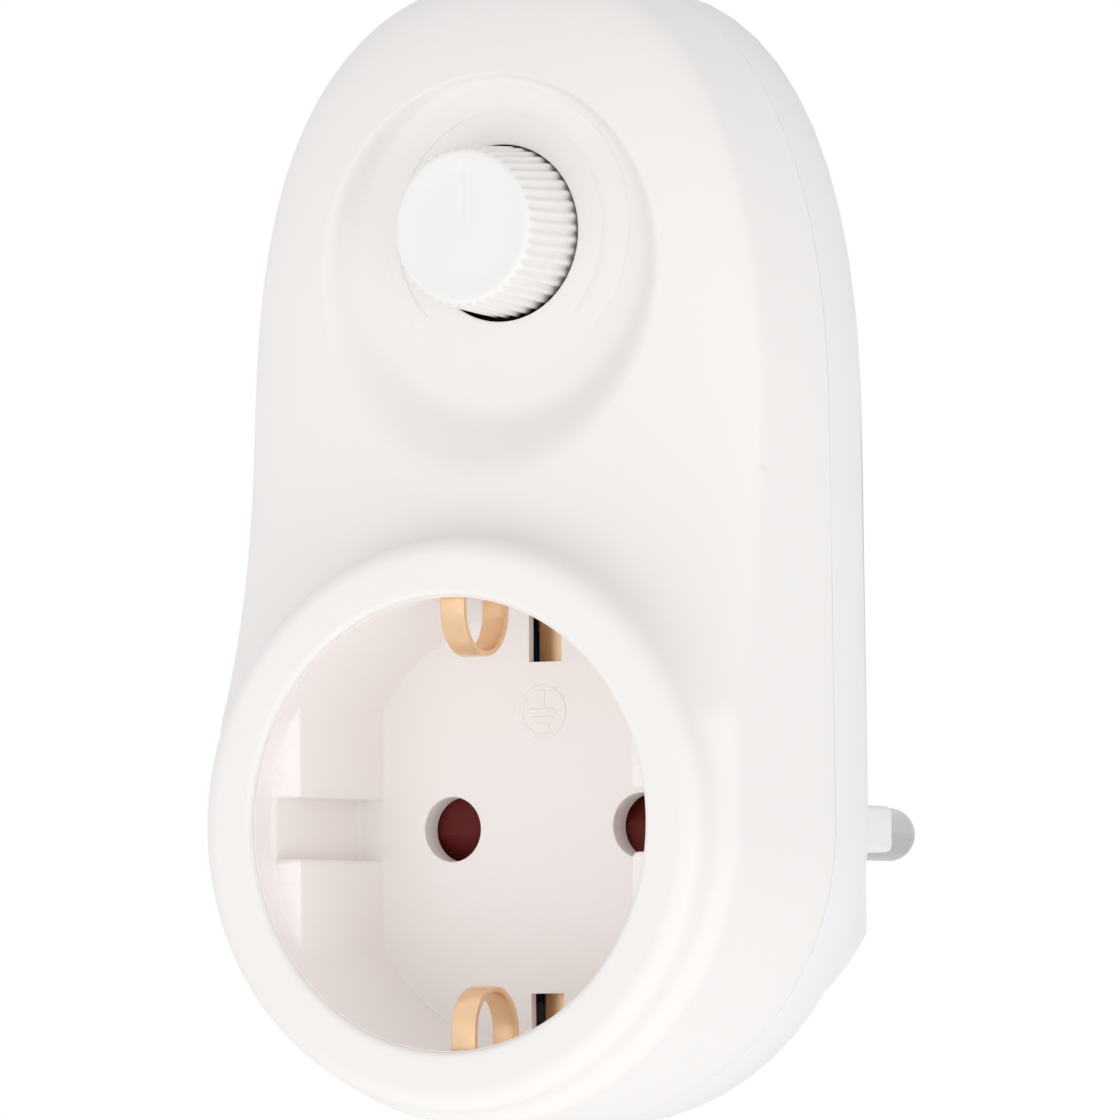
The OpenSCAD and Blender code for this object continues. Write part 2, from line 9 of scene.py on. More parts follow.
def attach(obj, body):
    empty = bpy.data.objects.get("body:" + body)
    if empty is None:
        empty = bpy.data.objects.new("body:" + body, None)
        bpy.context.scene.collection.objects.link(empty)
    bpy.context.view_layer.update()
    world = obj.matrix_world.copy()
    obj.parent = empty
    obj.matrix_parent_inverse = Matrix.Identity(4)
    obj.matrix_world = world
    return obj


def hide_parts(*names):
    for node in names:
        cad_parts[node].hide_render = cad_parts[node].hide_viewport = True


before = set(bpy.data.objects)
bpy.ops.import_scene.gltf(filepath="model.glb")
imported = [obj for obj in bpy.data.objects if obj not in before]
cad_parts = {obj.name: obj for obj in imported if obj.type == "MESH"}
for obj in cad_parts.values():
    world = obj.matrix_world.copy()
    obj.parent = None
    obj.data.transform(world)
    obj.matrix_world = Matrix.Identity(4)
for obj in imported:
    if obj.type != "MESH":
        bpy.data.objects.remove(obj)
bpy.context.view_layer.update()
print("frame loaded:", len(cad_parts), "nodes")

# Sizes are millimetres in the maker's frame: x across, up, and ahead of the back plate
mm = 0.001
plugDepth = 17.5  # the back plate stands this far ahead of the plug's end face
seamGap = 2e-6  # points nearer than this, in metres, become one
sliver = 1e-7  # faces thinner than this, in metres, are dropped
halvings = 34  # steps of a bisection
quarterTurn = math.pi / 2
fullTurn = 2 * math.pi


def placed(x, up, ahead):
    # maker's frame to the part's frame: ahead runs along -Y from the back plate
    x, up, ahead = np.broadcast_arrays(x, up, ahead)
    return np.stack([x, -plugDepth - ahead, up], -1).reshape(-1, 3) * mm


def gridQuads(rows, cols, closed):
    # every quad between neighbouring rows and columns, the last column meeting the first when closed
    r = np.arange(rows - 1)[:, None]
    c = np.arange(cols if closed else cols - 1)[None, :]
    n = (c + 1) % cols
    return np.stack([r * cols + c, r * cols + n, (r + 1) * cols + n, (r + 1) * cols + c], -1).reshape(-1, 4)


def joined(patches):
    # one list of points and one of quads from several (points, quads) patches
    starts = np.cumsum([0] + [len(points) for points, _ in patches[:-1]])
    quads = [quads + start for (_, quads), start in zip(patches, starts)]
    return np.concatenate([points for points, _ in patches]), np.concatenate(quads)


def smoothMax(a, b, blend):
    # the higher of two heights, rounded over where they are within blend of each other
    near = np.maximum(blend - np.abs(a - b), 0) / blend
    return np.maximum(a, b) + near * near * blend / 4


def smoothMin(a, b, blend):
    # the lower of two heights, rounded in the same way
    return -smoothMax(-a, -b, blend)


def smoothStep(v, low, high):
    # 0 at low and 1 at high, level at both ends, by the cubic 3t2 - 2t3
    t = np.clip((v - low) / (high - low), 0, 1)
    return t * t * (3 - 2 * t)


def surfaceReach(isInside, near, far):
    # halves the span between a reach inside and a reach outside until it closes on the surface
    for _ in range(halvings):
        middle = (near + far) / 2
        inside = isInside(middle)
        near, far = np.where(inside, middle, near), np.where(inside, far, middle)
    return middle


def meshPiece(name, points, quads, body, slot, crease, stands=()):
    # puts arrays into a mesh, closes its seams, turns its faces outwards and lets it ride
    mesh = bpy.data.meshes.new(name)
    mesh.from_pydata(points.tolist(), [], quads.tolist())
    work = bmesh.new()
    work.from_mesh(mesh)
    bmesh.ops.remove_doubles(work, verts=work.verts, dist=seamGap)
    bmesh.ops.dissolve_degenerate(work, edges=work.edges, dist=sliver)
    bmesh.ops.recalc_face_normals(work, faces=work.faces)
    work.to_mesh(mesh)
    work.free()
    shadedSmooth(mesh)
    mesh.set_sharp_from_angle(angle=math.radians(crease))
    mesh.update()
    return dressed(bpy.data.objects.new(name, mesh), body, finishes[slot], stands)


def shadedSmooth(mesh):
    mesh.polygons.foreach_set("use_smooth", np.ones(len(mesh.polygons), bool))


def dressed(piece, body, material, stands):
    # gives a piece its finish and its body, and hides the nodes that it stands for
    bpy.context.scene.collection.objects.link(piece)
    piece.data.materials.clear()
    piece.data.materials.append(material)
    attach(piece, body)
    if stands:
        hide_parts(*stands)
    return piece


# Finishes: a slow mottle in the colour and a fine grain in the height and the gloss
texture = {
    "slowDetail": 3, "rampFrom": 0.3, "rampTo": 0.7,
    "grain": 900, "fineDetail": 2, "glossSpread": 0.08, "bumpGain": 10, "bumpDistance": 0.00005,
}


def finish(slot, colour, rough, metal=0.0, mottle=0.03, mottleScale=60, grainDepth=0.02, shine=0.5):
    # the colour swings by the mottle's share either way, and the roughness by half the spread
    t = texture
    material = bpy.data.materials.new(slot)
    material.use_nodes = True
    nodes, links = material.node_tree.nodes, material.node_tree.links
    shader = nodes["Principled BSDF"]
    shader.inputs["Metallic"].default_value = metal
    shader.inputs["Specular IOR Level"].default_value = shine
    place = nodes.new("ShaderNodeTexCoord")
    slow = nodes.new("ShaderNodeTexNoise")
    slow.inputs["Scale"].default_value = mottleScale
    slow.inputs["Detail"].default_value = t["slowDetail"]
    fine = nodes.new("ShaderNodeTexNoise")
    fine.inputs["Scale"].default_value = t["grain"]
    fine.inputs["Detail"].default_value = t["fineDetail"]
    links.new(place.outputs["Object"], slow.inputs["Vector"])
    links.new(place.outputs["Object"], fine.inputs["Vector"])
    tint = nodes.new("ShaderNodeValToRGB")
    dark, pale = tint.color_ramp.elements
    dark.position, pale.position = t["rampFrom"], t["rampTo"]
    dark.color = [c * (1 - mottle) for c in colour] + [1]
    pale.color = [min(1, c * (1 + mottle)) for c in colour] + [1]
    links.new(slow.outputs["Fac"], tint.inputs["Fac"])
    links.new(tint.outputs["Color"], shader.inputs["Base Color"])
    gloss = nodes.new("ShaderNodeMapRange")
    gloss.inputs["To Min"].default_value = rough - t["glossSpread"] / 2
    gloss.inputs["To Max"].default_value = rough + t["glossSpread"] / 2
    links.new(fine.outputs["Fac"], gloss.inputs["Value"])
    links.new(gloss.outputs["Result"], shader.inputs["Roughness"])
    bump = nodes.new("ShaderNodeBump")
    bump.inputs["Strength"].default_value = grainDepth * t["bumpGain"]
    bump.inputs["Distance"].default_value = t["bumpDistance"]
    links.new(fine.outputs["Fac"], bump.inputs["Height"])
    links.new(bump.outputs["Normal"], shader.inputs["Normal"])
    return material


def fromScreen(*rgb):
    # a colour read off a screen, 0 to 255, as the linear value that renders to it
    return tuple(((v / 255 + 0.055) / 1.055) ** 2.4 for v in rgb)


# each finish by its colour on a screen, its roughness, and what sets it apart from plain plastic
finishTable = {
    "cover": ((243, 240, 238), 0.42, {"mottle": 0.006}),
    # the cup's white is painted paler than the cover's: painted light that lifts the shade inside the socket
    # and on the earth sign
    "cup": ((250, 245, 243), 0.45, {"mottle": 0.006}),
    "knob": ((243, 241, 239), 0.38, {"mottle": 0.006}),
    "shutter": ((100, 26, 22), 0.55, {"mottle": 0.06, "shine": 0.25}),
    "carrier": ((214, 206, 190), 0.5, {}),
    "brass": ((241, 204, 164), 0.3, {"metal": 1.0, "mottle": 0.06, "mottleScale": 220, "grainDepth": 0.006}),
    "pin": ((193, 190, 193), 0.28, {"metal": 1.0, "mottle": 0.02, "mottleScale": 240, "grainDepth": 0.003}),
    "steel": ((196, 196, 194), 0.32, {"metal": 1.0, "mottle": 0.06, "mottleScale": 260, "grainDepth": 0.006}),
    "shaft": ((236, 236, 232), 0.45, {}),
    "control": ((70, 66, 62), 0.5, {"mottle": 0.08}),
    "board": ((54, 96, 58), 0.45, {"mottle": 0.1, "mottleScale": 180}),
    "black": ((44, 44, 46), 0.5, {"mottle": 0.1}),
    "sink": ((176, 178, 180), 0.4, {"metal": 1.0, "mottle": 0.05, "mottleScale": 300}),
    "copper": ((196, 112, 62), 0.3, {"metal": 1.0, "mottle": 0.1, "mottleScale": 300}),
    "capacitor": ((226, 190, 66), 0.4, {"mottle": 0.05}),
    "glass": ((206, 214, 212), 0.12, {"mottle": 0.04}),
    "ceramic": ((190, 168, 132), 0.4, {"mottle": 0.06}),
    "lead_brown": ((104, 66, 44), 0.45, {"mottle": 0.05}),
    "lead_black": ((50, 50, 52), 0.45, {"mottle": 0.08}),
    "lead_blue": ((60, 104, 168), 0.45, {"mottle": 0.05}),
}
finishes = {slot: finish(slot, fromScreen(*colour), rough, **more)
            for slot, (colour, rough, more) in finishTable.items()}
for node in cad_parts.values():
    own = node.data.materials[0].name.split(".")[0]
    node.data.materials[0] = finishes[own]
print("finishes:", len(finishes))

# Front cover
cover = {
    # outline: half widths, the rounded top's start, height and fullness, and the seam's level
    "halfLow": 25.95, "halfHigh": 25.7, "topStart": 31.0, "topRise": 43.2, "topPower": 2.54, "seam": 5.8,
    # face, and the crown that drops from it
    "faceAhead": 21.2, "faceBend": 46.5, "faceSweep": 3.0, "sweepSpan": 30.0, "faceLow": 9.0,
    "crownDrop": 4.8, "crownPower": 2.6,
    # collar round the socket, its lip, and the fillet at its foot
    "rim": 28.5, "lip": 19.6, "lipEdge": 0.6, "lipBack": 27.84, "collar": 24.7, "collarEdge": 1.8,
    "collarFoot": 25.7, "collarFootAhead": 12.0,
    "blendLow": 1.1, "blendHigh": 2.2, "blendFrom": 6.0, "blendTo": 16.0,
    # knob axis, hole, and the dish round them
    "knobZ": 51.6, "holeZ": 51.45, "hole": 7.7, "holeEdge": 0.15,
    "dish": 14.65, "dishZ": 50.2, "dishAhead": 18.2, "dishRim": 17.05, "dishRimZ": 48.4, "rimBlend": 0.9,
    "floorBlend": (0.7, 1.5), "floorBlendSpan": (-8.0, 2.0),
    "dishRise": 0.9, "riseFrom": 58.5, "riseTo": 66.0,
    # wall, the rounding of its back edge, and the angle past which an edge shows as sharp
    "wall": 0.9, "seamEdge": 0.3, "crease": 40,
}
# the cover's grid: where its two charts part, the fan of rays in the lower one, and counts of points and rows
coverGrid = {
    "split": 30.0, "core": 19.5, "fanTurns": (83.5, 76.5, 62.0), "bendShare": 0.3, "fanReach": (0.5, 45.0),
    "sidePoints": 32, "footPoints": 108, "topPoints": 3, "crownPoints": 160, "acrossPoints": 92,
    "fanRows": (4, 14, 24, 34), "fanCrowding": 1.5, "lipRows": 9,
    "holeShares": (0, 0.06, 0.25, 0.55), "dishRows": (18, 44, 22), "faceCrowding": 1.35, "wallRows": 0.8,
    "sideRows": 6, "seamRows": 5,
}


def coverHalf(up):
    # half width of the straight stretch, which narrows a little towards the rounded top
    return cover["halfLow"] + (cover["halfHigh"] - cover["halfLow"]) * up / cover["topStart"]


def coverInset(x, up):
    # distance in from the outline: a round foot, a straight stretch and half a full ellipse on top
    foot = cover["halfLow"] - np.hypot(x, up)
    side = coverHalf(np.clip(up, 0, cover["topStart"])) - np.abs(x)
    n, a, b = cover["topPower"], cover["halfHigh"], cover["topRise"]
    u, v = np.abs(x) / a, np.maximum(up - cover["topStart"], 0) / b
    q = np.maximum(u ** n + v ** n, 1e-9) ** (1 / n)
    slope = np.hypot(u ** (n - 1) / a, v ** (n - 1) / b) * q ** (1 - n)
    crown = (1 - q) / np.maximum(slope, 1e-6)
    return np.where(up < 0, foot, np.where(up > cover["topStart"], crown, side))


def coverBody(x, up):
    # a face that sweeps forward as a cube below its bend, less a crown that drops towards the outline
    low = np.maximum(up, cover["faceLow"])
    face = cover["faceAhead"] - cover["faceSweep"] * ((low - cover["faceBend"]) / cover["sweepSpan"]) ** 3
    u = 1 - np.clip(coverInset(x, up) / cover["halfHigh"], 0, 1)
    n = cover["crownPower"]
    return face - cover["crownDrop"] * (1 - (1 - u ** n) ** (1 / n))


def coverSurface(x, up):
    # the body with the dish let into it: a cone between the floor circle and a lower-set rim circle, whose
    # share of the way up solves a quadratic, and a floor that rises a little and has a wider corner on top
    c = cover
    drop, grow = c["dishZ"] - c["dishRimZ"], c["dishRim"] - c["dish"]
    w = up - c["dishZ"]
    square = drop ** 2 - grow ** 2
    line = 2 * (w * drop - c["dish"] * grow)
    rest = x * x + w * w - c["dish"] ** 2
    root = np.sqrt(np.maximum(line * line - 4 * square * rest, 0))
    share = 2 * rest / np.maximum(root - line, 1.0)
    wall = c["dishAhead"] + share * (c["faceAhead"] - c["dishAhead"])
    floor = c["dishAhead"] + c["dishRise"] * smoothStep(up, c["riseFrom"], c["riseTo"])
    low, high = c["floorBlend"]
    blend = low + (high - low) * smoothStep(w, *c["floorBlendSpan"])
    return smoothMin(coverBody(x, up), smoothMax(floor, wall, blend), c["rimBlend"])


def collarDistance(rho, ahead):
    # distance outside the collar: a drafted ring with a rounded front edge
    c = cover
    front = c["rim"] - c["collarEdge"]
    draft = np.clip((front - ahead) / (front - c["collarFootAhead"]), 0, 1)
    side = rho - c["collar"] - (c["collarFoot"] - c["collar"]) * draft + c["collarEdge"]
    top = ahead - front
    rounded = np.hypot(np.maximum(side, 0), np.maximum(top, 0))
    return np.minimum(np.maximum(side, top), 0) + rounded - c["collarEdge"]


def lowerDistance(x, up, ahead):
    # how far outside the body and collar a point is, the two joined by a soft fillet above the socket
    c = cover
    body = np.maximum(ahead - coverSurface(x, up), -coverInset(x, up))
    blend = c["blendLow"] + (c["blendHigh"] - c["blendLow"]) * smoothStep(up, c["blendFrom"], c["blendTo"])
    return smoothMin(body, collarDistance(np.hypot(x, up), ahead), blend)


def rayCircle(rayUp, above, radius):
    # how far out on a ray from the hole's middle it meets a circle whose middle lies that much below
    return np.sqrt((rayUp * above) ** 2 + radius ** 2 - above ** 2) - rayUp * above


def coverOutline():
    # the outline below and above the split, each from right to left, and the split line from left to right
    c, g = cover, coverGrid
    low = np.linspace(g["split"], 0, g["sidePoints"])
    arc = np.linspace(0, -math.pi, g["footPoints"])[1:]
    lowX = np.concatenate([coverHalf(low), c["halfLow"] * np.cos(arc), -coverHalf(low[::-1])[1:]])
    lowUp = np.concatenate([low, c["halfLow"] * np.sin(arc), low[::-1][1:]])
    high = np.linspace(g["split"], c["topStart"], g["topPoints"])
    turn = np.linspace(0, math.pi, g["crownPoints"])[1:]
    full = 2 / c["topPower"]
    crownX = c["halfHigh"] * np.sign(np.cos(turn)) * np.abs(np.cos(turn)) ** full
    crownUp = c["topStart"] + c["topRise"] * np.abs(np.sin(turn)) ** full
    highX = np.concatenate([coverHalf(high), crownX, -coverHalf(high[::-1])[1:]])
    highUp = np.concatenate([high, crownUp, high[::-1][1:]])
    across = np.linspace(-quarterTurn, quarterTurn, g["acrossPoints"])[1:-1]
    acrossX = coverHalf(g["split"]) * np.sin(across)
    return (lowX, lowUp), (highX, highUp), (acrossX, np.full_like(acrossX, g["split"]))


def lowerChart(edgeX, edgeUp):
    # in the plane of each ray from the socket axis, directions fan out from a point inside the wall, from the
    # rim round the collar's edge and down to the outline, and bisection finds the surface on each
    c, g = cover, coverGrid
    reach = np.hypot(edgeX, edgeUp)
    rayX, rayUp = edgeX / reach, edgeUp / reach
    edgeA = coverSurface(edgeX, edgeUp)
    rimTurn = math.atan2(c["rim"] - c["seam"], c["lip"] + c["lipEdge"] - g["core"])
    flatTurn, wallTurn, faceTurn = (math.radians(turn) for turn in g["fanTurns"])
    lastTurn = np.arctan2(edgeA - c["seam"], reach - g["core"])
    bendTurn = np.maximum(faceTurn, lastTurn + g["bendShare"] * (wallTurn - lastTurn))
    rimRows, edgeRows, wallRows, faceRows = g["fanRows"]
    fan = np.concatenate([
        np.linspace(rimTurn, flatTurn, rimRows)[:, None] + 0 * reach,
        np.linspace(flatTurn, wallTurn, edgeRows)[1:, None] + 0 * reach,
        wallTurn + (bendTurn - wallTurn) * np.linspace(0, 1, wallRows)[1:, None],
        bendTurn + (lastTurn - bendTurn) * (1 - np.linspace(1, 0, faceRows)[1:, None] ** g["fanCrowding"]),
    ])

    def onFan(reached):
        return g["core"] + reached * np.cos(fan), c["seam"] + reached * np.sin(fan)

    def insideCover(reached):
        rho, ahead = onFan(reached)
        return lowerDistance(rho * rayX, rho * rayUp, ahead) < 0

    rho, ahead = onFan(surfaceReach(insideCover, *(np.full_like(fan, v) for v in g["fanReach"])))
    rho[-1], ahead[-1] = reach, edgeA
    over = np.linspace(0, quarterTurn, g["lipRows"])[:-1]
    lipR = c["lip"] + c["lipEdge"] * (1 - np.cos(np.append(0, over)))
    lipA = np.append(c["lipBack"], c["rim"] - c["lipEdge"] * (1 - np.sin(over)))
    rho = np.concatenate([lipR[:, None] + 0 * reach, rho])
    ahead = np.concatenate([lipA[:, None] + 0 * reach, ahead])
    return placed(rho * rayX, rho * rayUp, ahead), gridQuads(*rho.shape, True)


def upperChart(edgeX, edgeUp):
    # rays from the hole's middle over the dish and the face, with close rows along the dish wall
    c, g = cover, coverGrid
    reach = np.hypot(edgeX, edgeUp - c["holeZ"])
    rayX, rayUp = edgeX / reach, (edgeUp - c["holeZ"]) / reach
    lip = c["hole"] + c["holeEdge"] * np.array(g["holeShares"])[:, None] + 0 * reach
    start = c["hole"] + c["holeEdge"]
    foot = rayCircle(rayUp, c["holeZ"] - c["dishZ"], c["dish"]) - g["wallRows"]
    crest = rayCircle(rayUp, c["holeZ"] - c["dishRimZ"], c["dishRim"]) + g["wallRows"]
    floorRows, wallRows, faceRows = g["dishRows"]
    rho = np.concatenate([
        lip,
        start + (foot - start) * np.linspace(0, 1, floorRows)[:, None],
        foot + (crest - foot) * np.linspace(0, 1, wallRows)[1:, None],
        crest + (reach - crest) * (1 - np.linspace(1, 0, faceRows)[1:, None] ** g["faceCrowding"]),
    ])
    x, up = rho * rayX, c["holeZ"] + rho * rayUp
    lipOut = np.clip(1 - (rho - c["hole"]) / c["holeEdge"], 0, 1)
    ahead = coverSurface(x, up) - c["holeEdge"] * (1 - np.sqrt(1 - lipOut * lipOut))
    return placed(x, up, ahead), gridQuads(*rho.shape, True)


def coverSide(loopX, loopUp):
    # the whole outline carried back to the seam, where its edge rounds in along the outline's own normal
    c, g = cover, coverGrid
    slopeX = np.roll(loopX, -1) - np.roll(loopX, 1)
    slopeUp = np.roll(loopUp, -1) - np.roll(loopUp, 1)
    size = np.hypot(slopeX, slopeUp)
    outX, outUp = slopeUp / size, -slopeX / size
    crest = coverSurface(loopX, loopUp)
    edge = c["seamEdge"]
    down = np.linspace(0, 1, g["sideRows"])[:, None]
    turnIn = np.linspace(0, quarterTurn, g["seamRows"])[1:, None]
    straight = crest + (c["seam"] + edge - crest) * down
    ahead = np.concatenate([straight, c["seam"] + edge * (1 - np.sin(turnIn)) + 0 * crest])
    inset = np.concatenate([0 * down, edge * (1 - np.cos(turnIn))]) + 0 * crest
    return placed(loopX - outX * inset, loopUp - outUp * inset, ahead), gridQuads(*ahead.shape, True)


def buildFrontCover():
    # two charts of rays meet on the split line, the side closes the outline, and a modifier gives the wall
    (lowX, lowUp), (highX, highUp), (acrossX, acrossUp) = coverOutline()
    lower = lowerChart(np.append(lowX, acrossX), np.append(lowUp, acrossUp))
    upper = upperChart(np.append(highX, acrossX), np.append(highUp, acrossUp))
    side = coverSide(np.append(highX, lowX[::-1][1:-1]), np.append(highUp, lowUp[::-1][1:-1]))
    piece = meshPiece("front_shell", *joined([lower, upper, side]), "housing", "cover", cover["crease"],
                      ("front_cover",))
    skin = piece.modifiers.new("wall", "SOLIDIFY")
    skin.thickness = cover["wall"] * mm
    skin.offset = -1
    return piece


frontShell = buildFrontCover()
print("front cover:", len(frontShell.data.polygons), "faces")

# Brightness scale round the knob
scaleMark = {
    "inner": 10.3, "outer": 12.3, "outerX": 0.6, "outerUp": 0.2, "sweep": 135.0, "steps": 240,
    "thinnest": 0.05, "proud": 0.16, "sink": 0.3, "crease": 50,
    # its upper side by shares of its width and its height
    "across": (0, 0.12, 0.3, 0.5, 0.7, 0.88, 1), "rise": (0.5, 0.9, 1, 0.9, 0.75, 0.5, 0.25),
}


def buildBrightnessScale():
    # a crescent between an arc round the knob axis and a wider arc set off to one side, on the dish floor
    s = scaleMark
    a = np.radians(np.linspace(-s["sweep"], s["sweep"], s["steps"]))[None, :]
    a[:, 0], a[:, -1] = a[:, 1], a[:, -2]
    dirX, dirUp = np.sin(a), np.cos(a)
    side = s["outerX"] * dirX + s["outerUp"] * dirUp
    away = s["outerX"] ** 2 + s["outerUp"] ** 2 - s["outer"] ** 2
    outer = np.maximum(side + np.sqrt(side * side - away), s["inner"] + s["thinnest"])
    # its cross-section is a closed loop, a low dome on a sunk foot, and shrinks to nothing at both ends
    across = np.array([0, *s["across"], 1, 0])[:, None]
    rise = np.array([-s["sink"], *(s["proud"] * r for r in s["rise"]), -s["sink"], -s["sink"]])[:, None]
    full = np.ones_like(a)
    full[:, [0, -1]] = 0
    rho = s["inner"] + (outer - s["inner"]) * (0.5 + (across - 0.5) * full)
    x, up = rho * dirX, cover["knobZ"] + rho * dirUp
    ahead = coverSurface(x, up) + rise * full
    return meshPiece("brightness_scale", placed(x, up, ahead), gridQuads(*x.shape, False), "housing", "cover",
                     s["crease"])


buildBrightnessScale()
print("brightness scale")

# Knob
grip = {
    "foot": 16.9, "front": 24.95, "footR": 7.5, "frontR": 7.0, "edge": 0.75, "dip": 0.1, "dipWide": 1.6,
    "backShares": (0, 0.4, 0.8, 0.92, 0.96), "backStep": 0.05, "skirtUp": 0.3,
    "ridges": 44, "ridgeDepth": 0.34, "ridgePower": 1.4, "ridgePoints": 16, "ridgeFade": (0.2, 1.1),
    "pointerFrom": 0.7, "pointerTo": 5.2, "pointerHalf": 0.4, "pointerDeep": 0.06, "pointerFlat": 0.4,
    "pointerEase": (0.2, 0.3), "skirtRows": 14, "edgeRows": 12, "capRows": 22, "crease": 60,
}


def buildKnob():
    # a tapered turning with grip ridges that run out at its rounded front edge, and a shallow pointer groove
    g = grip
    a = np.linspace(0, fullTurn, g["ridges"] * g["ridgePoints"], endpoint=False)[None, :]
    backR = g["footR"] * np.array(g["backShares"])
    backA = np.append(0 * backR[1:] + g["foot"], g["foot"] + g["backStep"])
    skirt = np.linspace(0, 1, g["skirtRows"])
    skirtR = g["footR"] + (g["frontR"] - g["footR"]) * skirt
    skirtFoot = g["foot"] + g["skirtUp"]
    skirtA = skirtFoot + (g["front"] - g["edge"] - skirtFoot) * skirt
    turn = np.linspace(0, quarterTurn, g["edgeRows"])[1:]
    turnR = g["frontR"] - g["edge"] * (1 - np.cos(turn))
    turnA = g["front"] - g["edge"] * (1 - np.sin(turn))
    flatR = g["frontR"] - g["edge"]
    capR = np.linspace(flatR, 0, g["capRows"])[1:]
    capA = g["front"] - g["dip"] * smoothStep(capR, flatR, flatR - g["dipWide"])
    r = np.concatenate([backR, skirtR, turnR, capR])[:, None]
    ahead = np.concatenate([backA, skirtA, turnA, capA])[:, None]
    ridged = 1 - smoothStep(turn, *g["ridgeFade"])
    fade = np.concatenate([0 * backR, 0 * skirt + 1, ridged, 0 * capR])[:, None]
    onFront = np.concatenate([0 * backR, 0 * skirt, 0 * turn, 0 * capR + 1])[:, None]
    wave = 0.5 - 0.5 * np.cos(a * g["ridges"])
    radius = r - g["ridgeDepth"] * fade * wave ** g["ridgePower"]
    x, up = radius * np.sin(a), radius * np.cos(a)
    inner, outer = g["pointerEase"]
    groove = smoothStep(np.abs(x), g["pointerHalf"], g["pointerHalf"] * g["pointerFlat"]) * (up > 0) * onFront
    groove = groove * smoothStep(r, g["pointerFrom"] - inner, g["pointerFrom"] + inner)
    groove = groove * smoothStep(r, g["pointerTo"] + outer, g["pointerTo"] - outer)
    ahead = ahead - g["pointerDeep"] * groove
    return meshPiece("knob_grip", placed(x, cover["knobZ"] + up, ahead), gridQuads(*x.shape, True), "knob",
                     "knob", g["crease"], ("knob",))


buildKnob()
print("knob")

# Socket cup
cup = {
    # recess with its guide flats and channels
    "recess": 19.5, "flatHalf": 16.5, "flatFront": 25.3, "flatFall": 0.5, "channelHalf": 19.2,
    "channelHigh": 5.3, "edge": 0.6, "corner": 0.4, "fillet": 0.35,
    # levels and the stepped outside
    "front": 27.82, "floor": 11.0, "back": 8.8, "nose": 20.3, "shoulder": 26.9, "outer": 21.05,
    # pin holes, clip slots that open wider behind a thin lip, and the shutter's hub
    "pinX": 9.5, "hole": 2.83, "holeEdge": 0.12,
    "slotHalf": 1.65, "slotIn": 14.45, "slotLip": 0.8, "slotWider": 1.2, "slotLonger": 0.5,
    "hub": 1.6, "hubBack": 3.7, "hubIn": 0.4, "crease": 40,
}
# the cup's grid: stretches of turn and of depth as (from, to, count), and counts of other points and rows
cupGrid = {
    "turns": ((0, 7, 5), (7, 10.4, 22), (10.4, 32, 12), (32, 35.5, 9)), "lastTurn": 35.5,
    "slotTurns": (24, 5),
    "rimDepths": (27.2, 26.6, 26.3), "flatDepths": (26.1, 24.2, 56), "deepDepths": (22, 18, 14),
    "filletRows": 6, "wallReach": (12.0, 20.5), "slotSide": 6, "slotEnd": 4, "middle": 40, "holeRows": 5,
    "floorRows": 9, "hub": 48,
}
slotTurn = math.degrees(math.acos(cup["slotHalf"] / cup["recess"]))


def cupHollow(x, up, ahead):
    # negative inside the recess: a round bore, narrowed by two guide flats that each have a channel
    c = cup
    flat = np.abs(x) - c["flatHalf"]
    channel = np.maximum(np.abs(x) - c["channelHalf"], np.abs(up) - c["channelHigh"] / 2)
    front = c["flatFront"] - c["flatFall"] * flat / (c["outer"] - c["flatHalf"]) - ahead
    narrowed = smoothMin(smoothMin(flat, channel, c["edge"]), front, c["edge"])
    return smoothMax(narrowed, np.hypot(x, up) - c["recess"], c["corner"])


def cupWall(turnX, turnUp):
    # at every turn and depth, bisection finds how far out the recess reaches, less a fillet at the floor
    c, g = cup, cupGrid
    fillet = c["floor"] + c["fillet"] * np.linspace(1, 0, g["filletRows"]) ** 2
    flats = np.linspace(*g["flatDepths"])
    depths = np.concatenate([[c["front"]], g["rimDepths"], flats, g["deepDepths"], fillet])
    ahead = depths[:, None] + 0 * turnX

    def insideRecess(r):
        return cupHollow(r * turnX, r * turnUp, ahead) < 0

    r = surfaceReach(insideRecess, *(np.full_like(ahead, v) for v in g["wallReach"]))
    low = np.clip(1 - (ahead - c["floor"]) / c["fillet"], 0, 1)
    return r - c["fillet"] * (1 - np.sqrt(1 - low * low)), ahead


